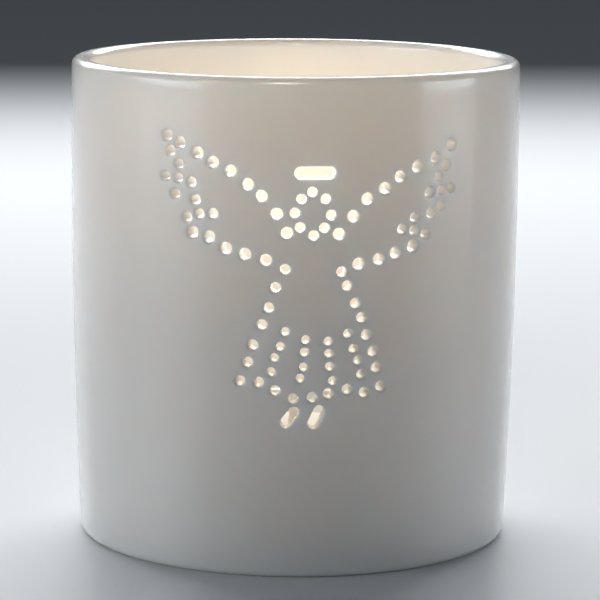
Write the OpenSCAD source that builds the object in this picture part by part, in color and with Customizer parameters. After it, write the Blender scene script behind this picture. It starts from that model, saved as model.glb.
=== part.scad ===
// Tealight holder: a pierced porcelain cup with a standard tealight inside.
// +Z is up. The origin is the centre of the foot, on the surface that the cup stands on.
// The pierced angel faces -Y.

/* [Porcelain shell] */
// Outer diameter across the rim
rim_d = 75; // [62:0.5:100]
// Outer diameter at the foot
foot_d = 72.2; // [60:0.2:100]
// Height from the table to the rim
shell_h = 80.5; // [67:0.5:120]
// How far the side wall swells outwards halfway up
belly = 0.6; // [0.2:0.1:3]
// Thickness of the side wall
wall_t = 3; // [2.2:0.1:5]
// Thickness of the floor above the recess in the underside
floor_t = 3.4; // [2.4:0.1:8]
// Radius that rounds the rim's two edges
rim_round = 1.2; // [0.4:0.1:2]
// Radius of the heel, where the wall meets the table
heel_round = 1.6; // [0.5:0.1:4]
// Radius of the corner between the floor and the wall inside
well_round = 4; // [1:0.5:8]
// Width of the ring that the cup stands on
foot_ring_w = 5; // [2:0.5:10]
// Depth of the recess inside that ring
foot_recess = 0.8; // [0.3:0.1:2]

/* [Pierced angel] */
// Distance from the rim down to the level of the wing tips
motif_drop = 10.5; // [6:0.5:30]
// Sideways place of the angel's middle line, along the wall
motif_shift = 2.9; // [-10:0.1:10]
// Slope of the angel's cross lines, in degrees: its left wing sits higher
motif_slope = -2.2; // [-6:0.1:6]
// Diameter of the holes along the wings
wing_hole_d = 1.9; // [1.2:0.05:2.3]
// Diameter of the holes of the head, the dress and the feather stars
body_hole_d = 1.65; // [1.2:0.05:2.1]
// Diameter of the holes down the pleats
pleat_hole_d = 1.4; // [1:0.05:1.9]
// Length of the halo slot, end to end
halo_l = 6.6; // [4:0.1:8]
// Width of the halo slot
halo_w = 2.1; // [1.5:0.1:3]
// Length of each foot slot, end to end
shoe_l = 4; // [3:0.1:5]
// Width of each foot slot
shoe_w = 1.8; // [1.4:0.1:2.2]
// How far each hole strays from its even place, as it does when pierced by hand
hand_stray = 0.16; // [0:0.02:0.3]

/* [Tealight] */
// Outer diameter of the aluminium cup, without its rolled edge
can_d = 38; // [30:0.5:46]
// Height of the aluminium cup
can_h = 16; // [13:0.5:20]
// Thickness of the aluminium
can_t = 0.25; // [0.2:0.05:0.5]
// Diameter of the rolled edge's bead
bead_d = 1.1; // [0.8:0.1:2]
// Bevel round the bottom of the aluminium cup
can_bevel = 0.8; // [0.4:0.1:2]
// Thickness of the wax
wax_h = 11.6; // [8:0.1:12.5]
// Gap round the wax, so that it slips out of its cup
wax_gap = 0.3; // [0.2:0.05:0.6]
// Diameter of the wick
wick_d = 1.7; // [1:0.1:2.5]
// Length of wick that stands above the wax
wick_free = 8.5; // [5:0.5:12]
// Diameter of the wick's steel disc
disc_d = 13; // [9:0.5:20]
// Thickness of the steel disc and of its collar
disc_t = 0.3; // [0.2:0.05:0.6]
// Height of the collar that grips the wick
collar_h = 3.4; // [2:0.1:6]
// Gap that the wax leaves round the disc, the collar and the wick
cast_gap = 0.05; // [0.02:0.01:0.2]

/* [Hidden] */
$fn = 96;
cut_margin = 1;
wall_bands = 6;
floor_top = foot_recess + floor_t;
wall_foot = [foot_d / 2, 0];
wall_rim = [rim_d / 2, shell_h];
// The side wall is a slack arc from the foot to the rim: its radius and centre
wall_arc_r = (pow(norm(wall_rim - wall_foot) / 2, 2) + belly * belly) / (2 * belly);
wall_lean = atan2(wall_rim.x - wall_foot.x, shell_h);
wall_arc_c = (wall_foot + wall_rim) / 2 - (wall_arc_r - belly) * [cos(wall_lean), -sin(wall_lean)];

// The angel is drawn flat, as its right half: x runs along the wall from its middle line, and y is
// height over the toes. A value for [left, right] differs because the halves are pierced by hand.
shoulder = [4.1, 32];
wing_tip = [24.4, 46];
waist = [4.5, 26.2];
hem_end = [11.4, 7.8];
// Control points of the curves along the wing's two edges and down the side of the dress
wing_top = [
    [shoulder, [8.1, 40.9], [17.5, 42.6], wing_tip],
    [shoulder, [9.2, 40.1], [16, 41.6], wing_tip],
];
wing_low = [waist, [8.4, 28.4], [13, 28], [16.8, 30.3]];
dress_side = [[waist, [8.2, 17], hem_end], [waist, [9, 17.8], hem_end]];
wing_top_holes = [9, 8];
wing_low_holes = 5;
dress_side_holes = [7, 8];
// Lone holes among the feathers, and two stars: holes round a middle one, on arms a quarter turn apart
feather_holes = [[[23.8, 43.3], [19.4, 31]], [[23.2, 43], [20.3, 35.2]]];
big_star = [[22.3, 39.1], [22.1, 38.9]];
big_star_arm = 2.35;
big_star_turn = 8;
small_star = [[18.4, 33.8], [16.9, 32.5]];
small_star_arm = 2.25;
small_star_turn = [-12, -8];
// The head is an oval ring under the halo
head = [0, 35.2];
head_r = [2.8, 3.3];
head_holes = 8;
halo = [0.3, 41.6];
// The hem sags between its ends, with a wave along it
hem_holes = 9;
hem_low = 6.1;
hem_rise = 1.7;
hem_wave = 0.7;
hem_wave_l = 13;
hem_crest = 4.5;
// The pleats fan out: their spacing and height at the top and at the end, and their common shift
pleats = [-1.5, -0.5, 0.5, 1.5];
pleat_holes = 4;
pleat_top = [3.4, 15.6];
pleat_end = [4.9, 9.2];
pleat_arch = 1;
pleat_shift = 0.8;
// Each foot slot's middle and its turn from upright
shoes = [[-3.4, 2.4, -38], [0.8, 2.6, -25]];

// Distance from the axis, at height z, of an arc that lies inset within the wall's outer face
function face_r(z, inset) = wall_arc_c.x + sqrt(pow(wall_arc_r - inset, 2) - pow(z - wall_arc_c.y, 2));

// The centre of a rounding of radius r between a level face at z and a face of the wall, which lies
// inset within the outer one. up is 1 where the rounding is above z, and way is -1 where it is on
// the axis side of the wall's face. round_end is where it meets that face.
function round_centre(r, z, up, inset, way) = [face_r(z + up * r, inset - way * r), z + up * r];
function round_end(c, r, way) = c - way * r * (c - wall_arc_c) / norm(c - wall_arc_c);
// Points up or down a face of the wall, which is made as bands that follow its arc
function wall_row(inset, z0, z1) = [for (i = [0:wall_bands]) let (z = z0 + (z1 - z0) * i / wall_bands)
    [face_r(z, inset), z]];

// A point on the smooth curve that the control points p draw, at share t of the way along
function along(p, t) = len(p) == 1
    ? p[0]
    : along([for (i = [0:len(p) - 2]) p[i] * (1 - t) + p[i + 1] * t], t);
function row(p, n) = [for (i = [0:n - 1]) along(p, i / (n - 1))];
function without_first(p) = [for (i = [1:len(p) - 1]) p[i]];
function mirrored(p, side) = [for (q = p) [side * q.x, q.y]];
function star(c, arm, turn, arms) = concat([c], [for (i = [0:arms - 1]) let (a = turn + 90 * i)
    c + arm * [cos(a), sin(a)]]);
function hem_at(x) = hem_low + hem_rise * pow(x / hem_end.x, 2)
    + hem_wave * cos(360 * (x - hem_crest) / hem_wave_l);

function wing_points(i) = concat(row(wing_top[i], wing_top_holes[i]), feather_holes[i],
    without_first(row(wing_low, wing_low_holes)));
function star_points(i) = concat(star(big_star[i], big_star_arm, big_star_turn, 4),
    star(small_star[i], small_star_arm, small_star_turn[i], 3));
function head_points() = [for (i = [1:head_holes]) let (a = i * 360 / head_holes)
    head + [head_r.x * sin(a), head_r.y * cos(a)]];
function hem_points() = [for (i = [1:hem_holes - 2]) let (x = (2 * i / (hem_holes - 1) - 1) * hem_end.x)
    [x, hem_at(x)]];
function pleat_points() = [for (k = pleats, i = [0:pleat_holes - 1])
    let (q = pleat_top + (pleat_end - pleat_top) * i / (pleat_holes - 1))
    [pleat_shift + k * q.x, q.y + pleat_arch * (abs(k) - 1)]];

// A point of the flat drawing at its place on the wall: [distance along the wall, height]
function placed(p) = [motif_shift + p.x,
    shell_h - motif_drop - wing_tip.y + p.y + p.x * tan(motif_slope)];

// Puts a cutter that runs along +Z through the wall at a point of the drawing
module through_wall(p) {
    q = placed(p);
    translate([0, 0, q.y])
        rotate([0, 0, q.x / face_r(q.y, 0) * 180 / PI])
            rotate([90, 0, 0])
                translate([0, 0, face_r(q.y, wall_t) - cut_margin])
                    children();
}

module pierce(points, d, seed) {
    for (i = [0:len(points) - 1]) {
        stray = hand_stray * [sin(seed + 137 * i), sin(2 * seed + 211 * i)];
        through_wall(points[i] + stray)
            cylinder(d = d, h = wall_t + 2 * cut_margin);
    }
}

module pierce_slot(p, l, w, turn) {
    through_wall(p)
        rotate([0, 0, turn])
            linear_extrude(wall_t + 2 * cut_margin)
                union() {
                    square([l - w, w], center = true);
                    for (side = [-1, 1])
                        translate([side * (l - w) / 2, 0]) circle(d = w);
                }
}

module angel_cuts() {
    for (i = [0, 1]) {
        side = 2 * i - 1;
        pierce(mirrored(wing_points(i), side), wing_hole_d, 20 * i);
        pierce(mirrored(star_points(i), side), body_hole_d, 50 + 20 * i);
        pierce(mirrored(row(dress_side[i], dress_side_holes[i]), side), body_hole_d, 90 + 20 * i);
    }
    pierce(head_points(), body_hole_d, 10);
    pierce(hem_points(), body_hole_d, 70);
    pierce(pleat_points(), pleat_hole_d, 33);
    pierce_slot(halo, halo_l, halo_w, 0);
    for (s = shoes)
        pierce_slot([s.x, s.y], shoe_l, shoe_w, 90 + s.z);
}

module shell_profile() {
    heel = round_centre(heel_round, 0, 1, 0, -1);
    rim_out = round_centre(rim_round, shell_h, -1, 0, -1);
    rim_in = round_centre(rim_round, shell_h, -1, wall_t, 1);
    well = round_centre(well_round, floor_top, 1, wall_t, -1);
    ring_in = heel.x - foot_ring_w;
    difference() {
        union() {
            polygon(concat(
                [[0, foot_recess], [ring_in - foot_recess, foot_recess], [ring_in, 0], [heel.x, 0]],
                wall_row(0, round_end(heel, heel_round, -1).y, round_end(rim_out, rim_round, -1).y),
                [[rim_out.x, shell_h], [rim_in.x, shell_h]],
                wall_row(wall_t, round_end(rim_in, rim_round, 1).y, round_end(well, well_round, -1).y),
                [[well.x, floor_top], [0, floor_top]]
            ));
            translate(heel) circle(r = heel_round);
            translate(rim_out) circle(r = rim_round);
            translate(rim_in) circle(r = rim_round);
        }
        translate(well) circle(r = well_round);
    }
}

module porcelain_shell() {
    color([0.93, 0.92, 0.89])
        difference() {
            rotate_extrude() shell_profile();
            angel_cuts();
        }
}

module tealight_cup() {
    r = can_d / 2;
    color([0.78, 0.79, 0.8])
        translate([0, 0, floor_top])
            rotate_extrude()
                union() {
                    polygon([
                        [0, 0],
                        [r - can_bevel, 0],
                        [r, can_bevel],
                        [r, can_h - bead_d / 2],
                        [r - can_t, can_h - bead_d / 2],
                        [r - can_t, can_bevel + can_t / 2],
                        [r - can_bevel - can_t / 2, can_t],
                        [0, can_t],
                    ]);
                    translate([r - can_t + bead_d / 2, can_h - bead_d / 2]) circle(d = bead_d);
                }
}

module wax() {
    r = can_d / 2 - can_t - wax_gap;
    disc_top = can_t + disc_t + cast_gap;
    color([0.95, 0.94, 0.88])
        translate([0, 0, floor_top])
            difference() {
                rotate_extrude()
                    polygon([
                        [0, can_t],
                        [r - can_bevel, can_t],
                        [r, can_t + can_bevel],
                        [r, can_t + wax_h],
                        [0, can_t + wax_h],
                    ]);
                translate([0, 0, can_t - cut_margin])
                    cylinder(d = disc_d + 2 * cast_gap, h = disc_top - can_t + cut_margin);
                cylinder(d = wick_d + 2 * (disc_t + cast_gap), h = disc_top + collar_h);
                cylinder(d = wick_d + 2 * cast_gap, h = can_t + wax_h + cut_margin);
            }
}

module wick() {
    color([0.96, 0.95, 0.92])
        translate([0, 0, floor_top + can_t + disc_t])
            cylinder(d = wick_d, h = wax_h - disc_t + wick_free);
}

module wick_sustainer() {
    color([0.6, 0.61, 0.62])
        translate([0, 0, floor_top + can_t]) {
            cylinder(d = disc_d, h = disc_t);
            difference() {
                cylinder(d = wick_d + 2 * disc_t, h = disc_t + collar_h);
                translate([0, 0, disc_t])
                    cylinder(d = wick_d, h = collar_h + cut_margin);
            }
        }
}

porcelain_shell();
tealight_cup();
wax();
wick();
wick_sustainer();
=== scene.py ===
"""Tealight holder: a pierced porcelain cup with a standard tealight inside, on a pale table."""

import math

import bmesh
import bpy
from mathutils import Matrix, Vector


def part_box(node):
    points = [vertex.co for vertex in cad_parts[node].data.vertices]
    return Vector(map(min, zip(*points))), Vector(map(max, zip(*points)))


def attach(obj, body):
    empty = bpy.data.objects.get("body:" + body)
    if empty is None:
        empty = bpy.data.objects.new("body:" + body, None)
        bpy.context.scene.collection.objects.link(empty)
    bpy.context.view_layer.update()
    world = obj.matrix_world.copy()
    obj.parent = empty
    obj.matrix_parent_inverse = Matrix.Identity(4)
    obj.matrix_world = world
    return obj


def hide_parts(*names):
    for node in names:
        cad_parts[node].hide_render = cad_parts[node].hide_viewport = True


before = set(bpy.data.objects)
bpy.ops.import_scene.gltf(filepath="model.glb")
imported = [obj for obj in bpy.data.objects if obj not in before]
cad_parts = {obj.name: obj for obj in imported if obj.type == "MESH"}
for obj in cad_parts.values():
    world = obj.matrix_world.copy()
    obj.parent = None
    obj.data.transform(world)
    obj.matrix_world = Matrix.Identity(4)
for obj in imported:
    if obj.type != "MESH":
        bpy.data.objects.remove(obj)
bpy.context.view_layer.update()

# Shapes are worked out in millimetres, with the origin at the centre of the foot, and scaled once
MM = 0.001
SKIN = 0.04  # how far each piece keeps inside the solid that it stands for

# ---------------------------------------------------------------- sizes of the porcelain shell

shell_low, shell_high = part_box("porcelain_shell")
HEIGHT = (shell_high.z - shell_low.z) / MM
RIM_D = 75
FOOT_D = 72.2
BELLY = 0.6
WALL = 3
FLOOR = 4.2
RECESS = 0.8
FOOT_RING = 5
RIM_ROUND = 1.25
HEEL_ROUND = 1.6
WELL_ROUND = 4

COLUMNS = 240
TURN = 2 * math.pi / COLUMNS
FLAT_R = RIM_D / 2  # a flat sheet is wrapped round this radius

foot = Vector((FOOT_D / 2, 0))
rim = Vector((RIM_D / 2, HEIGHT))
half = (rim - foot).length / 2
ARC_R = (half**2 + BELLY**2) / (2 * BELLY)
lean = math.atan2(rim.x - foot.x, HEIGHT)
ARC_C = (foot + rim) / 2 - (ARC_R - BELLY) * Vector((math.cos(lean), -math.sin(lean)))


def face_r(z, inset):
    """Distance from the axis, at height z, of an arc that lies inset within the outer face."""
    return ARC_C.x + math.sqrt((ARC_R - inset) ** 2 - (z - ARC_C.y) ** 2)


# ---------------------------------------------------------------- small helpers for shapes


def spread(a, b, steps):
    """The steps from a to b, without a itself."""
    return [a + (b - a) * i / steps for i in range(1, steps + 1)]


def arc(centre, radius, start, stop, steps):
    """Points round a centre, from one angle to another in degrees, both included."""
    turns = [start] + spread(start, stop, steps)
    return [
        (
            centre[0] + radius * math.cos(math.radians(t)),
            centre[1] + radius * math.sin(math.radians(t)),
        )
        for t in turns
    ]


def turned(profile, columns=COLUMNS, closed=False):
    """A bmesh turned on the axis from a profile of (radius, height) points."""
    bm = bmesh.new()
    ring = [bm.verts.new((0, r, z)) for r, z in profile]
    edges = [bm.edges.new(pair) for pair in zip(ring, ring[1:])]
    if closed:
        edges.append(bm.edges.new((ring[-1], ring[0])))
    bmesh.ops.spin(
        bm,
        geom=ring + edges,
        cent=(0, 0, 0),
        axis=(0, 0, 1),
        angle=2 * math.pi,
        steps=columns,
        use_merge=True,
    )
    bmesh.ops.remove_doubles(bm, verts=bm.verts, dist=0.001)
    return bm


def piece_from(bm, name, material, lift=0.0):
    """Makes the finished object: normals outwards, smooth, and scaled to metres."""
    bmesh.ops.recalc_face_normals(bm, faces=bm.faces)
    bmesh.ops.translate(bm, verts=bm.verts, vec=(0, 0, lift))
    bmesh.ops.scale(bm, verts=bm.verts, vec=(MM, MM, MM))
    for face in bm.faces:
        face.smooth = True
    mesh = bpy.data.meshes.new(name)
    bm.to_mesh(mesh)
    bm.free()
    mesh.materials.append(material)
    made = bpy.data.objects.new(name, mesh)
    bpy.context.scene.collection.objects.link(made)
    return made


# ---------------------------------------------------------------- the pierced angel

# The angel is drawn flat, as its right half: x runs along the wall from its middle line, and y is
# height over the toes. A pair of values is for the left and the right half.
DROP = 10.5
SHIFT = 2.9
SLOPE = math.tan(math.radians(-2.2))
STRAY = 0.16
WING_HOLE = 1.9
BODY_HOLE = 1.65
PLEAT_HOLE = 1.4
HALO_LENGTH = 6.6
HALO_WIDTH = 2.1
SHOE_LENGTH = 4.0
SHOE_WIDTH = 1.8

SHOULDER = (4.1, 32)
WING_TIP = (24.4, 46)
WAIST = (4.5, 26.2)
HEM_END = (11.4, 7.8)
WING_TOP = [
    [SHOULDER, (8.1, 40.9), (17.5, 42.6), WING_TIP],
    [SHOULDER, (9.2, 40.1), (16, 41.6), WING_TIP],
]
WING_LOW = [WAIST, (8.4, 28.4), (13, 28), (16.8, 30.3)]
DRESS_SIDE = [[WAIST, (8.2, 17), HEM_END], [WAIST, (9, 17.8), HEM_END]]
WING_TOP_HOLES = [9, 8]
WING_LOW_HOLES = 5
DRESS_SIDE_HOLES = [7, 8]
FEATHER_HOLES = [[(23.8, 43.3), (19.4, 31)], [(23.2, 43), (20.3, 35.2)]]
BIG_STAR = [(22.3, 39.1), (22.1, 38.9)]
BIG_STAR_ARM = 2.35
BIG_STAR_TURN = 8
SMALL_STAR = [(18.4, 33.8), (16.9, 32.5)]
SMALL_STAR_ARM = 2.25
SMALL_STAR_TURN = [-12, -8]
HEAD = (0, 35.2)
HEAD_R = (2.8, 3.3)
HEAD_HOLES = 8
HALO = (0.3, 41.6)
# The hem sags between its ends, with a wave along it
HEM_HOLES = 9
HEM_LOW = 6.1
HEM_RISE = 1.7
HEM_WAVE = 0.7
HEM_WAVE_LENGTH = 13
HEM_CREST = 4.5
# The pleats fan out: their spacing and height at the top and at the end, and their common shift
PLEATS = (-1.5, -0.5, 0.5, 1.5)
PLEAT_HOLES = 4
PLEAT_TOP = (3.4, 15.6)
PLEAT_END = (4.9, 9.2)
PLEAT_ARCH = 1
PLEAT_SHIFT = 0.8
# Each foot slot's middle and its turn from upright
SHOES = [(-3.4, 2.4, -38), (0.8, 2.6, -25)]


def along(points, t):
    """The point at share t of the smooth curve that the control points draw."""
    points = [Vector(p) for p in points]
    while len(points) > 1:
        points = [a.lerp(b, t) for a, b in zip(points, points[1:])]
    return points[0]


def row(points, count):
    """Holes at even steps along the curve, with one at each end."""
    return [along(points, i / (count - 1)) for i in range(count)]


def star(centre, arm, turn, arms):
    """Holes round a middle one, on arms a quarter turn apart."""
    tips = [math.radians(turn + 90 * i) for i in range(arms)]
    middle = Vector(centre)
    return [middle] + [middle + arm * Vector((math.cos(a), math.sin(a))) for a in tips]


def hem_at(x):
    """The hem's height over the toes."""
    wave = math.cos(2 * math.pi * (x - HEM_CREST) / HEM_WAVE_LENGTH)
    return HEM_LOW + HEM_RISE * (x / HEM_END[0]) ** 2 + HEM_WAVE * wave


def strayed(points, seed):
    """Moves each hole a little off its even place, as a hand does."""
    out = []
    for i, p in enumerate(points):
        a = math.radians(seed + 137 * i)
        b = math.radians(2 * seed + 211 * i)
        out.append(Vector(p) + STRAY * Vector((math.sin(a), math.sin(b))))
    return out


def angel_holes():
    """Every hole as (place in the drawing, width, length, turn in radians)."""
    rows = []
    for i, side in enumerate((-1, 1)):
        wing = row(WING_TOP[i], WING_TOP_HOLES[i]) + FEATHER_HOLES[i]
        wing += row(WING_LOW, WING_LOW_HOLES)[1:]
        stars = star(BIG_STAR[i], BIG_STAR_ARM, BIG_STAR_TURN, 4)
        stars += star(SMALL_STAR[i], SMALL_STAR_ARM, SMALL_STAR_TURN[i], 3)
        dress = row(DRESS_SIDE[i], DRESS_SIDE_HOLES[i])
        groups = (
            (wing, WING_HOLE, 20 * i),
            (stars, BODY_HOLE, 50 + 20 * i),
            (dress, BODY_HOLE, 90 + 20 * i),
        )
        for points, width, seed in groups:
            rows.append(([(side * p[0], p[1]) for p in points], width, seed))
    head = []
    for i in range(1, HEAD_HOLES + 1):
        a = i * 2 * math.pi / HEAD_HOLES
        head.append((HEAD[0] + HEAD_R[0] * math.sin(a), HEAD[1] + HEAD_R[1] * math.cos(a)))
    hem = []
    for i in range(1, HEM_HOLES - 1):
        x = (2 * i / (HEM_HOLES - 1) - 1) * HEM_END[0]
        hem.append((x, hem_at(x)))
    pleats = []
    for k in PLEATS:
        for i in range(PLEAT_HOLES):
            x = PLEAT_TOP[0] + (PLEAT_END[0] - PLEAT_TOP[0]) * i / (PLEAT_HOLES - 1)
            y = PLEAT_TOP[1] + (PLEAT_END[1] - PLEAT_TOP[1]) * i / (PLEAT_HOLES - 1)
            pleats.append((PLEAT_SHIFT + k * x, y + abs(k) - PLEAT_ARCH))
    rows += [(head, BODY_HOLE, 10), (hem, BODY_HOLE, 70), (pleats, PLEAT_HOLE, 33)]
    holes = []
    for points, width, seed in rows:
        holes += [(p, width, width, 0.0) for p in strayed(points, seed)]
    holes.append((Vector(HALO), HALO_WIDTH, HALO_LENGTH, 0.0))
    for x, y, turn in SHOES:
        holes.append((Vector((x, y)), SHOE_WIDTH, SHOE_LENGTH, math.radians(90 + turn)))
    return holes


class Hole:
    """One hole on the flat sheet: its core is a point, or a short line for a slot."""

    def __init__(self, place, width, length, turn, seed):
        x = SHIFT + place.x
        z = HEIGHT - DROP - WING_TIP[1] + place.y + place.x * SLOPE
        self.middle = Vector((x * FLAT_R / face_r(z, 0), z))
        self.reach = (length - width) / 2 * Vector((math.cos(turn), math.sin(turn)))
        self.radius = width / 2
        self.turn = turn
        self.seed = seed
        self.lip = 0.0

    def core(self, p):
        """The nearest point of the hole's core to p."""
        if self.reach.length == 0:
            return self.middle
        along_core = (p - self.middle).dot(self.reach) / self.reach.length_squared
        return self.middle + self.reach * max(-1.0, min(1.0, along_core))

    def distance(self, p):
        return (p - self.core(p)).length - self.radius

    def gap_to(self, other):
        """The porcelain left between this hole and another one."""
        ends = (self.middle - self.reach, self.middle, self.middle + self.reach)
        return min(other.distance(p) for p in ends) - self.radius


LIP = 0.34
LIP_SHARE = 0.46  # the most of the gap to the next hole that a hole's rounded lip may take
HOLE_SIDES = 24

holes = [Hole(*hole, seed=i) for i, hole in enumerate(angel_holes())]
for hole in holes:
    nearest = min(hole.gap_to(other) for other in holes if other is not hole)
    hole.lip = min(LIP, LIP_SHARE * nearest)

# ---------------------------------------------------------------- the shell's mesh

PANEL_COLUMNS = (93, 153)  # the pierced part of the wall, in columns from the back
PANEL_LEVELS = [21.0 + 1.25 * i for i in range(44)]
NEAR = 0.02  # points of the sheet that are closer than this count as one


def shell_profile():
    """The shell's section, from the middle of its underside to the middle of its floor."""
    heel = (face_r(HEEL_ROUND, HEEL_ROUND), HEEL_ROUND)
    rim_z = HEIGHT - RIM_ROUND
    rim_out = (face_r(rim_z, RIM_ROUND), rim_z)
    rim_in = (face_r(rim_z, WALL - RIM_ROUND), rim_z)
    well_z = FLOOR + WELL_ROUND
    well = (face_r(well_z, WALL + WELL_ROUND), well_z)
    ring_in = heel[0] - FOOT_RING
    bottom = [(0, RECESS)] + [(r, RECESS) for r in spread(0, ring_in - RECESS - 0.4, 8)]
    ring = [(ring_in - 0.35, RECESS - 0.1), (ring_in - 0.1, 0.12), (ring_in + 0.2, 0)]
    ring += [(r, 0) for r in spread(ring_in + 0.2, heel[0] - 0.4, 3)]
    up_levels = spread(HEEL_ROUND, PANEL_LEVELS[0], 16)
    top_levels = spread(PANEL_LEVELS[-1], rim_z, 4)[:-1]
    levels = up_levels + PANEL_LEVELS[1:] + top_levels
    in_levels = spread(well_z, PANEL_LEVELS[0], 10) + PANEL_LEVELS[1:] + top_levels
    outer = [(face_r(z, 0), z) for z in levels]
    inner = [(face_r(z, WALL), z) for z in reversed(in_levels)]
    floor = [(r, FLOOR) for r in spread(well[0], 0, 8)]
    return (
        bottom
        + ring
        + arc(heel, HEEL_ROUND, -90, 0, 7)
        + outer
        + arc(rim_out, RIM_ROUND, 0, 90, 8)
        + arc(rim_in, RIM_ROUND, 90, 180, 8)
        + inner
        + arc(well, WELL_ROUND, 0, -90, 10)
        + floor
    )


def flat_sheet():
    """The pierced part of the wall as a flat sheet: x along the wall, y up, z into the wall."""
    first, last = (FLAT_R * (TURN * c - math.pi) for c in PANEL_COLUMNS)
    low, high = PANEL_LEVELS[0], PANEL_LEVELS[-1]
    across = PANEL_COLUMNS[1] - PANEL_COLUMNS[0]
    up = len(PANEL_LEVELS) - 1
    bm = bmesh.new()
    bmesh.ops.create_grid(bm, x_segments=across, y_segments=up, size=0.5)
    bmesh.ops.delete(bm, geom=bm.faces[:], context="FACES_KEEP_BOUNDARY")
    bmesh.ops.scale(bm, verts=bm.verts, vec=(last - first, high - low, 1))
    bmesh.ops.translate(bm, verts=bm.verts, vec=((first + last) / 2, (low + high) / 2, 0))
    for hole in holes:
        half_step = Matrix.Rotation(math.pi / HOLE_SIDES, 4, "Z")
        made = bmesh.ops.create_circle(
            bm, segments=HOLE_SIDES, radius=hole.radius + hole.lip, matrix=half_step
        )
        for v in made["verts"]:
            v.co = Matrix.Rotation(hole.turn, 4, "Z") @ v.co
            side = 1 if v.co.to_2d().dot(hole.reach) > 0 else -1
            v.co += (hole.middle + side * hole.reach).to_3d()
    bmesh.ops.triangle_fill(bm, edges=bm.edges[:], use_beauty=True, normal=(0, 0, 1))
    cuts = [((first + FLAT_R * TURN * i, 0, 0), (1, 0, 0)) for i in range(1, across)]
    cuts += [((0, z, 0), (0, 1, 0)) for z in PANEL_LEVELS[1:-1]]
    for place, way in cuts:
        geom = bm.verts[:] + bm.edges[:] + bm.faces[:]
        bmesh.ops.bisect_plane(bm, geom=geom, dist=0.01, plane_co=place, plane_no=way)
    bmesh.ops.remove_doubles(bm, verts=bm.verts, dist=NEAR)
    return bm


def lip_steps(hole):
    """How a hole's edge goes into the wall: (widening, depth) from the face to the other face."""
    lip = hole.lip
    turns = [math.pi / 2 * i / 4 for i in range(1, 5)]
    front = [(lip * (1 - math.sin(t)), lip * (1 - math.cos(t))) for t in turns]
    back = [(w, WALL - d) for w, d in reversed(front)]
    middle = [(0.0, WALL * 0.35), (0.0, WALL * 0.65)]
    return front + middle + back + [(lip, WALL)]


def pierce_sheet(bm):
    """Joins the sheet to its copy on the inner face with rounded tubes through the wall."""
    low, high = PANEL_LEVELS[0], PANEL_LEVELS[-1]
    first = min(v.co.x for v in bm.verts)
    last = max(v.co.x for v in bm.verts)

    def on_outline(edge):
        return all(
            min(abs(v.co.x - first), abs(v.co.x - last)) < NEAR
            or min(abs(v.co.y - low), abs(v.co.y - high)) < NEAR
            for v in edge.verts
        )

    lips = [e for e in bm.edges if e.is_boundary and not on_outline(e)]
    owner = {}
    for v in {v for e in lips for v in e.verts}:
        p = v.co.to_2d()
        owner[v] = min(holes, key=lambda hole: abs(hole.distance(p) - hole.lip))

    def set_ring(verts, step):
        for v, hole in verts.items():
            p = v.co.to_2d()
            core = hole.core(p)
            away = (p - core).normalized()
            spin = math.atan2(away.y, away.x)
            widening, depth = lip_steps(hole)[step] if step is not None else (hole.lip, v.co.z)
            uneven = 1 + 0.018 * math.sin(2 * spin + 1.7 * hole.seed)
            wide = hole.radius * uneven + widening
            v.co = (core + away * wide).to_3d() + Vector((0, 0, depth))

    set_ring(owner, None)
    back = bmesh.ops.duplicate(bm, geom=bm.verts[:] + bm.edges[:] + bm.faces[:])["geom"]
    back_verts = [g for g in back if isinstance(g, bmesh.types.BMVert)]
    bmesh.ops.translate(bm, verts=back_verts, vec=(0, 0, WALL))
    edges = lips
    ring = owner
    for step in range(len(lip_steps(holes[0]))):
        made = bmesh.ops.extrude_edge_only(bm, edges=edges)["geom"]
        edges = [g for g in made if isinstance(g, bmesh.types.BMEdge)]
        verts = [g for g in made if isinstance(g, bmesh.types.BMVert)]
        places = {v.co.to_tuple(5): hole for v, hole in ring.items()}
        ring = {v: places[v.co.to_tuple(5)] for v in verts}
        set_ring(ring, step)
    bmesh.ops.remove_doubles(bm, verts=bm.verts, dist=0.002)


def wrapped(v):
    """A point of the flat sheet at its place on the curved wall."""
    turn = v.x / FLAT_R
    radius = face_r(v.y, v.z)
    return Vector((radius * math.sin(turn), -radius * math.cos(turn), v.y))


def in_panel(face):
    """Whether a face of the turned wall lies where the pierced sheet goes."""
    middle = face.calc_center_median()
    turn = (math.atan2(middle.x, -middle.y) + math.pi) / TURN
    deep = math.hypot(middle.x, middle.y)
    on_wall = deep > face_r(middle.z, WALL + 0.1)
    across = PANEL_COLUMNS[0] < turn < PANEL_COLUMNS[1]
    return on_wall and across and PANEL_LEVELS[0] < middle.z < PANEL_LEVELS[-1]


# How far casting takes the cup off its true shape: two shares of the radius, and a height
OVAL = 0.0013
DENTS = 0.0005
RIM_SAG = 0.09


def slip_cast(v):
    """The small unevenness of a cup cast and trimmed by hand: it only ever takes away."""
    turn = math.atan2(v.x, -v.y)
    rise = max(0.0, min(1.0, v.z / HEIGHT))
    oval = OVAL * rise * (1 - math.cos(2 * turn + 0.9))
    bump = DENTS * (1 + math.sin(5 * turn + 0.11 * v.z)) * (1 - abs(2 * rise - 1))
    round_part = 1 - oval - bump - SKIN / FLAT_R
    sag = RIM_SAG * rise**6 * (1.4 - math.cos(turn - 0.7) - 0.4 * math.sin(3 * turn))
    return Vector((v.x * round_part, v.y * round_part, v.z - sag))


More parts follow.
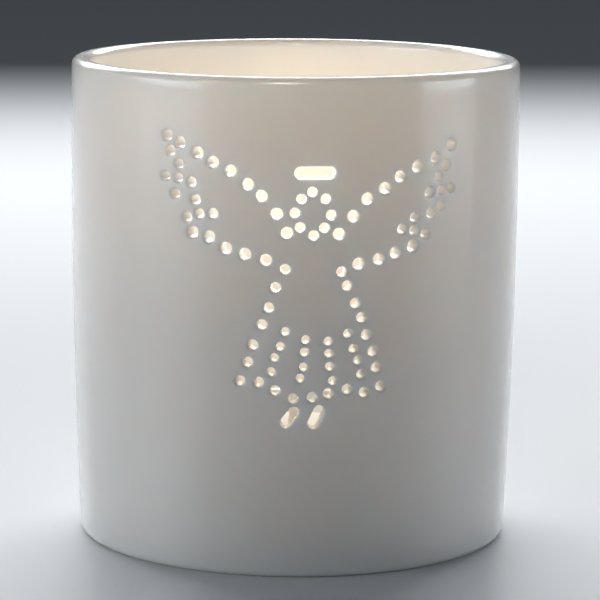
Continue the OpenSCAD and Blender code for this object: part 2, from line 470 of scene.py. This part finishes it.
def build_shell(material):
    """The porcelain cup: a turned shell, with the pierced sheet let into its wall."""
    bm = turned(shell_profile())
    panel = [f for f in bm.faces if in_panel(f)]
    bmesh.ops.delete(bm, geom=panel, context="FACES_KEEP_BOUNDARY")
    sheet = flat_sheet()
    pierce_sheet(sheet)
    for v in sheet.verts:
        v.co = wrapped(v.co)
    pierced = bpy.data.meshes.new("pierced_wall")
    sheet.to_mesh(pierced)
    sheet.free()
    bm.from_mesh(pierced)
    bpy.data.meshes.remove(pierced)
    bmesh.ops.remove_doubles(bm, verts=bm.verts, dist=0.004)
    for v in bm.verts:
        v.co = slip_cast(v.co)
    return piece_from(bm, "pierced_cup", material)


# ---------------------------------------------------------------- the tealight

CAN_LOW, CAN_HIGH = (corner.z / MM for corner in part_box("tealight_cup"))
CAN_R = 19
CAN_T = 0.25
BEAD_R = 0.55
CAN_CORNER = 1.2
CAN_WELL = 0.95
WAX_LOW, WAX_HIGH = (corner.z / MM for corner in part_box("wax"))
WAX_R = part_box("wax")[1].x / MM
WAX_BEVEL = 0.8
WAX_LIP = 0.55
WAX_DISH = 0.42
WAX_SKIRT = 0.34
DISC_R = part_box("wick_sustainer")[1].x / MM
COLLAR_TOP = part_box("wick_sustainer")[1].z / MM
WICK_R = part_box("wick")[1].x / MM
WICK_LOW, WICK_HIGH = (corner.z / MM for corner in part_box("wick"))
WICK_RINGS = 110
STRAND_TURN = 2.6  # how fast the strands wind, in radians for each millimetre


def build_can(material):
    """The drawn aluminium cup, with pressed rings in its base and a rolled edge."""
    tall = CAN_HIGH - CAN_LOW
    bead = (CAN_R - CAN_T + BEAD_R, tall - BEAD_R)
    base = [(0, 0.1), (3, 0.1), (5.6, 0.1), (6.0, 0), (8.4, 0), (8.8, 0.1), (12.6, 0.1)]
    base += [(13, 0), (15, 0), (16.9, 0)]
    corner = arc((CAN_R - CAN_CORNER, CAN_CORNER), CAN_CORNER - SKIN, -90, 0, 6)
    side = [(CAN_R - SKIN, z) for z in spread(CAN_CORNER, bead[1] - 0.9, 12)]
    roll = arc(bead, BEAD_R - SKIN, -118, 180, 18)
    inner_r = CAN_R - CAN_T
    inside = [(inner_r, z) for z in spread(bead[1] - 0.4, 1.3, 12)]
    well = arc((inner_r - CAN_WELL, CAN_WELL + CAN_T), CAN_WELL, 0, -90, 5)
    floor = [(r, CAN_T) for r in spread(inner_r - CAN_WELL, 0, 8)]
    bm = turned(base + corner + side + roll + inside + well + floor, columns=144)
    return piece_from(bm, "aluminium_cup", material, lift=CAN_LOW)


def build_wax(material):
    """The paraffin, dished a little, with a skirt of wax drawn up round the wick."""
    tall = WAX_HIGH - WAX_LOW
    bore = WICK_R + 0.05
    around_collar = WICK_R + 0.35
    recess = COLLAR_TOP - WAX_LOW + 0.02
    under = [(DISC_R + 0.05, 0.35), (DISC_R + 0.05, 0), (12, 0), (WAX_R - WAX_BEVEL, 0)]
    side = [(WAX_R - SKIN, z) for z in [WAX_BEVEL] + spread(WAX_BEVEL, tall - 0.8, 8)]
    lip = arc((WAX_R - WAX_LIP, tall - WAX_LIP), WAX_LIP - SKIN, 0, 90, 6)
    top = []
    for r in spread(WAX_R - 0.6, 1.9, 26):
        share = r / WAX_R
        dish = WAX_DISH * (1 - share**4)
        skirt = WAX_SKIRT * math.exp(-(((r - bore) / 1.25) ** 2))
        top.append((r, tall - SKIN - dish + skirt))
    skirt_top = [(bore + 0.45, tall - 0.24), (bore + 0.12, tall - 0.14), (bore, tall - 0.2)]
    down = [(bore, tall * 0.6), (bore, recess), (around_collar, recess), (around_collar, 0.35)]
    bm = turned(under + side + lip + top + skirt_top + down, columns=120, closed=True)
    return piece_from(bm, "paraffin", material, lift=WAX_LOW)


def build_wick(material):
    """A braided cotton wick: crossing strands in relief, leaning a little where it stands free."""
    bm = bmesh.new()
    bmesh.ops.create_circle(bm, cap_ends=True, segments=24, radius=WICK_R - SKIN)
    edges = bm.edges[:]
    tall = WICK_HIGH - WICK_LOW
    for _ in range(WICK_RINGS):
        made = bmesh.ops.extrude_edge_only(bm, edges=edges)["geom"]
        edges = [g for g in made if isinstance(g, bmesh.types.BMEdge)]
        verts = [g for g in made if isinstance(g, bmesh.types.BMVert)]
        bmesh.ops.translate(bm, verts=verts, vec=(0, 0, tall / WICK_RINGS))
    bmesh.ops.contextual_create(bm, geom=edges)
    bmesh.ops.poke(bm, faces=[f for f in bm.faces if len(f.verts) > 4])
    free_from = WAX_HIGH - WICK_LOW
    for v in bm.verts:
        turn = math.atan2(v.co.y, v.co.x)
        one = math.cos(3 * turn + STRAND_TURN * v.co.z)
        two = math.cos(3 * turn - STRAND_TURN * v.co.z)
        strand = max(one, two)
        free = max(0.0, (v.co.z - free_from) / (tall - free_from))
        thin = 1 - 0.16 * (1 - strand) * 0.5 - 0.12 * free**6
        v.co.x *= thin
        v.co.y *= thin
        v.co.x += 0.55 * free**2 - 0.2 * free**4
        v.co.y -= 0.25 * free**2
        if free > 0.97:
            v.co.z -= 0.12 * (1 + math.sin(4 * turn))
    return piece_from(bm, "braided_wick", material, lift=WICK_LOW)


def build_sustainer(material):
    """The pressed steel disc, with a stiffening ring and the collar that grips the wick."""
    top = COLLAR_TOP - WAX_LOW
    collar = WICK_R + 0.3
    disc = [(0, 0), (3, 0), (DISC_R - 0.1, 0), (DISC_R - SKIN, 0.08), (DISC_R - SKIN, 0.22)]
    disc += [(DISC_R - 0.12, 0.3), (4.6, 0.3), (4.3, 0.24), (3.9, 0.24), (3.6, 0.3), (2, 0.3)]
    neck = [(1.5, 0.32), (collar, 0.4), (collar - 0.02, 0.6)]
    neck += [(collar - 0.02, z) for z in spread(0.6, top - 0.1, 8)]
    bore = [(collar - 0.1, top - 0.02), (WICK_R + 0.05, top - 0.02), (WICK_R + 0.01, top - 0.1)]
    down = [(WICK_R + 0.01, 0.45), (WICK_R, 0.3), (0, 0.3)]
    bm = turned(disc + neck + bore + down, columns=72)
    return piece_from(bm, "steel_sustainer", material, lift=WAX_LOW)


# ---------------------------------------------------------------- material writing


class Signal:
    """A node's output that takes part in sums: an expression on signals adds its Math nodes."""

    def __init__(self, finish, socket):
        self.finish = finish
        self.socket = socket

    def worked(self, operation, *values):
        sockets = dict(enumerate(values))
        return self.finish.node("ShaderNodeMath", {"operation": operation}, sockets)

    def __add__(self, other):
        return self.worked("ADD", self, other)

    def __radd__(self, other):
        return self.worked("ADD", other, self)

    def __sub__(self, other):
        return self.worked("SUBTRACT", self, other)

    def __rsub__(self, other):
        return self.worked("SUBTRACT", other, self)

    def __mul__(self, other):
        return self.worked("MULTIPLY", self, other)

    def __rmul__(self, other):
        return self.worked("MULTIPLY", other, self)

    def band(self, low, high):
        """0 below low, 1 above high, and smooth between."""
        settings = {"interpolation_type": "SMOOTHSTEP"}
        sockets = {"Value": self, "From Min": low, "From Max": high}
        return self.finish.node("ShaderNodeMapRange", settings, sockets)


class Finish:
    """A node material being written. Every node comes from node()."""

    def __init__(self, name):
        self.material = bpy.data.materials.new(name)
        self.material.use_nodes = True
        self.tree = self.material.node_tree
        self.tree.nodes.clear()
        self.place = self.node("ShaderNodeTexCoord", out="Object")

    def node(self, kind, settings=None, sockets=None, out=0):
        """A new node with its settings and sockets, given back as the signal that leaves it."""
        made = self.tree.nodes.new(kind)
        for name, value in (settings or {}).items():
            setattr(made, name, value)
        for name, value in (sockets or {}).items():
            if isinstance(value, Signal):
                self.tree.links.new(value.socket, made.inputs[name])
            else:
                made.inputs[name].default_value = value
        return Signal(self, made.outputs[out]) if made.outputs else None

    def noise(self, scale, detail=3.0, roughness=0.5, vector=None):
        sockets = {"Vector": vector or self.place, "Scale": scale, "Detail": detail}
        sockets["Roughness"] = roughness
        return self.node("ShaderNodeTexNoise", None, sockets)

    def mix(self, factor, a, b):
        """Mixes two colours."""
        a, b = ((*c, 1) if isinstance(c, tuple) else c for c in (a, b))
        return self.node("ShaderNodeMix", {"data_type": "RGBA"}, {0: factor, 6: a, 7: b}, out=2)

    def stretched(self, x, y, z):
        sockets = {"Vector": self.place, "Scale": (x, y, z)}
        return self.node("ShaderNodeMapping", None, sockets)

    def height(self):
        """The height over the table, in metres."""
        return self.node("ShaderNodeSeparateXYZ", None, {"Vector": self.place}, out="Z")

    def bump(self, height, strength, distance):
        sockets = {"Height": height, "Strength": strength, "Distance": distance}
        return self.node("ShaderNodeBump", None, sockets)

    def finished(self, **sockets):
        """The material, with these values on its shader's sockets."""
        named = {name.replace("_", " "): value for name, value in sockets.items()}
        shader = self.node("ShaderNodeBsdfPrincipled", None, named)
        self.node("ShaderNodeOutputMaterial", None, {"Surface": shader})
        return self.material


def glazed_porcelain():
    f = Finish("glazed_porcelain")
    cloud = f.noise(26, 2.0)
    fine = f.noise(900, 2.0, 0.6)
    peel = f.noise(240, 2.0)
    speck = f.noise(1500, 1.0).band(0.73, 0.8)
    bare = 1 - f.height().band(0.0001, 0.0006)
    body = f.mix(cloud.band(0.3, 0.7), (0.86, 0.845, 0.815), (0.89, 0.875, 0.85))
    body = f.mix(speck * 0.12, body, (0.62, 0.56, 0.48))
    colour = f.mix(bare, body, (0.8, 0.77, 0.71))
    rough = 0.2 + 0.05 * cloud + 0.03 * fine + 0.4 * bare
    height = 0.6 * peel + 0.15 * fine + 0.5 * bare * fine
    return f.finished(
        Base_Color=colour,
        Roughness=rough,
        Normal=f.bump(height, 0.12, 0.0004),
        IOR=1.5,
        Subsurface_Weight=1.0,
        Subsurface_Radius=(1.0, 0.88, 0.78),
        Subsurface_Scale=0.0024,
        Coat_Weight=0.7 * (1 - bare),
        Coat_Roughness=0.06,
    )


def drawn_aluminium():
    f = Finish("drawn_aluminium")
    streak = f.noise(60, 3.0, 0.6, f.stretched(1, 1, 14))
    grain = f.noise(2600, 2.0)
    dull = f.noise(90, 3.0)
    colour = f.mix(streak, (0.74, 0.75, 0.76), (0.86, 0.865, 0.87))
    rough = 0.24 + 0.16 * dull + 0.06 * grain
    return f.finished(
        Base_Color=colour,
        Metallic=1.0,
        Roughness=rough,
        Normal=f.bump(streak * 0.6 + grain * 0.4, 0.1, 0.0002),
    )


def paraffin_wax():
    f = Finish("paraffin_wax")
    cloud = f.noise(130, 4.0, 0.6)
    frost = f.noise(700, 3.0, 0.65)
    colour = f.mix(cloud.band(0.35, 0.65), (0.86, 0.845, 0.79), (0.91, 0.9, 0.86))
    rough = 0.34 + 0.16 * frost
    return f.finished(
        Base_Color=colour,
        Roughness=rough,
        Normal=f.bump(0.7 * cloud + 0.3 * frost, 0.25, 0.0003),
        IOR=1.44,
        Subsurface_Weight=0.9,
        Subsurface_Radius=(1.0, 0.8, 0.55),
        Subsurface_Scale=0.0025,
    )


def waxed_cotton():
    f = Finish("waxed_cotton")
    fibre = f.noise(2200, 3.0, 0.7, f.stretched(1, 1, 0.25))
    tip = f.height().band((WICK_HIGH - 1.4) * MM, WICK_HIGH * MM)
    colour = f.mix(fibre.band(0.3, 0.7), (0.74, 0.71, 0.64), (0.93, 0.92, 0.88))
    colour = f.mix(tip * 0.35, colour, (0.62, 0.57, 0.48))
    return f.finished(
        Base_Color=colour,
        Roughness=0.55 + 0.3 * fibre,
        Normal=f.bump(fibre, 0.5, 0.0002),
        Sheen_Weight=0.25,
    )


def tinned_steel():
    f = Finish("tinned_plate")
    spangle = f.noise(420, 4.0, 0.6)
    scratch = f.noise(900, 2.0, 0.5, f.stretched(1, 9, 1))
    colour = f.mix(spangle, (0.5, 0.51, 0.53), (0.68, 0.69, 0.7))
    return f.finished(
        Base_Color=colour,
        Metallic=1.0,
        Roughness=0.3 + 0.18 * scratch,
        Normal=f.bump(scratch, 0.15, 0.0002),
    )


def pale_table():
    f = Finish("pale_table")
    cloud = f.noise(3, 2.0)
    colour = f.mix(cloud, (0.88, 0.89, 0.91), (0.91, 0.92, 0.935))
    return f.finished(Base_Color=colour, Roughness=0.32 + 0.04 * cloud, IOR=1.45)


# ---------------------------------------------------------------- the pieces on their bodies

pieces = [
    (build_shell(glazed_porcelain()), "holder", "porcelain_shell", "porcelain"),
    (build_can(drawn_aluminium()), "tealight", "tealight_cup", "thin_aluminium"),
    (build_wax(paraffin_wax()), "candle", "wax", "wax"),
    (build_wick(waxed_cotton()), "candle", "wick", "cotton"),
    (build_sustainer(tinned_steel()), "candle", "wick_sustainer", "tinned_steel"),
]
for piece, body, node, slot in pieces:
    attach(piece, body)
    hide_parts(node)

# ---------------------------------------------------------------- table, light and camera


def build_table():
    """The pale table top that everything stands on."""
    bm = bmesh.new()
    bmesh.ops.create_grid(bm, x_segments=8, y_segments=8, size=3.0)
    mesh = bpy.data.meshes.new("table")
    bm.to_mesh(mesh)
    bm.free()
    mesh.materials.append(pale_table())
    made = bpy.data.objects.new("table", mesh)
    bpy.context.scene.collection.objects.link(made)


def hung_light(name, kind, place, power, colour, aim=None, **settings):
    """A lamp that is seen only by what it lights. It faces its aim, where it has one."""
    lamp = bpy.data.lights.new(name, kind)
    lamp.energy = power
    lamp.color = colour
    for setting, value in settings.items():
        setattr(lamp, setting, value)
    made = bpy.data.objects.new(name, lamp)
    made.location = place
    if aim is not None:
        way = Vector(aim) - Vector(place)
        made.rotation_euler = way.to_track_quat("-Z", "Y").to_euler()
    made.visible_camera = False
    bpy.context.scene.collection.objects.link(made)


def soft_light(name, place, aim, size, power, colour, beam=180):
    """A flat panel of light. A small beam keeps its light near its own line."""
    shape = {"shape": "RECTANGLE", "size": size[0], "size_y": size[1]}
    hung_light(name, "AREA", place, power, colour, aim, spread=math.radians(beam), **shape)


def narrow_light(name, place, aim, cone, power, colour):
    """A small spot with a soft edge, for the inside of the cup."""
    shape = {"spot_size": math.radians(cone), "spot_blend": 0.6, "shadow_soft_size": 0.006}
    hung_light(name, "SPOT", place, power, colour, aim, **shape)


def inner_light(name, place, radius, power, colour):
    """A soft ball of light inside the cup, where a flame would stand."""
    hung_light(name, "POINT", place, power, colour, shadow_soft_size=radius)


build_table()
middle = (0, 0, HEIGHT * MM / 2)
soft_light("window", (-0.05, 0.55, 0.42), middle, (1.0, 0.36), 6.1, (0.96, 0.98, 1.0))
soft_light("left_bounce", (-0.8, -0.35, 0.18), middle, (0.6, 0.3), 2.1, (0.88, 0.94, 1.0))
soft_light("right_bounce", (0.8, -0.1, 0.1), middle, (0.5, 0.18), 0.9, (0.86, 0.93, 1.0))
front_lip = (0, -RIM_D * MM / 2, HEIGHT * MM + 0.01)
soft_light("warm_lamp", (-0.02, -0.24, 0.2), front_lip, (0.14, 0.02), 0.0055, (1.0, 0.84, 0.64), 20)
mouth = (0, 0.004, HEIGHT * MM)
inner_light("glow", (0, 0, 0.056), 0.02, 0.019, (1.0, 0.86, 0.7))
narrow_light("into_the_cup", (0.0, -0.3, 0.75), mouth, 3.7, 10, (1.0, 0.93, 0.86))

world = bpy.data.worlds.new("studio")
world.use_nodes = True
sky = world.node_tree.nodes["Background"]
sky.inputs["Color"].default_value = (0.8, 0.9, 1.0, 1)
sky.inputs["Strength"].default_value = 0.062
bpy.context.scene.world = world
bpy.context.scene.view_settings.view_transform = "Standard"

# The camera stands half a metre away, looking a little down, and its angles are in degrees
CAMERA_PLACE = (0, -0.5133, 0.1273)
CAMERA_PAN = -0.116
CAMERA_DOWN = 9.752
CAMERA_ROLL = 0.55

lens = bpy.data.cameras.new("camera")
lens.sensor_width = 36
lens.lens = 184.47
lens.clip_start = 0.02
camera = bpy.data.objects.new("camera", lens)
tilt = (
    Matrix.Rotation(math.radians(CAMERA_PAN), 4, "Z")
    @ Matrix.Rotation(math.radians(90 - CAMERA_DOWN), 4, "X")
    @ Matrix.Rotation(math.radians(CAMERA_ROLL), 4, "Z")
)
camera.matrix_world = Matrix.Translation(CAMERA_PLACE) @ tilt
bpy.context.scene.collection.objects.link(camera)
bpy.context.scene.camera = camera
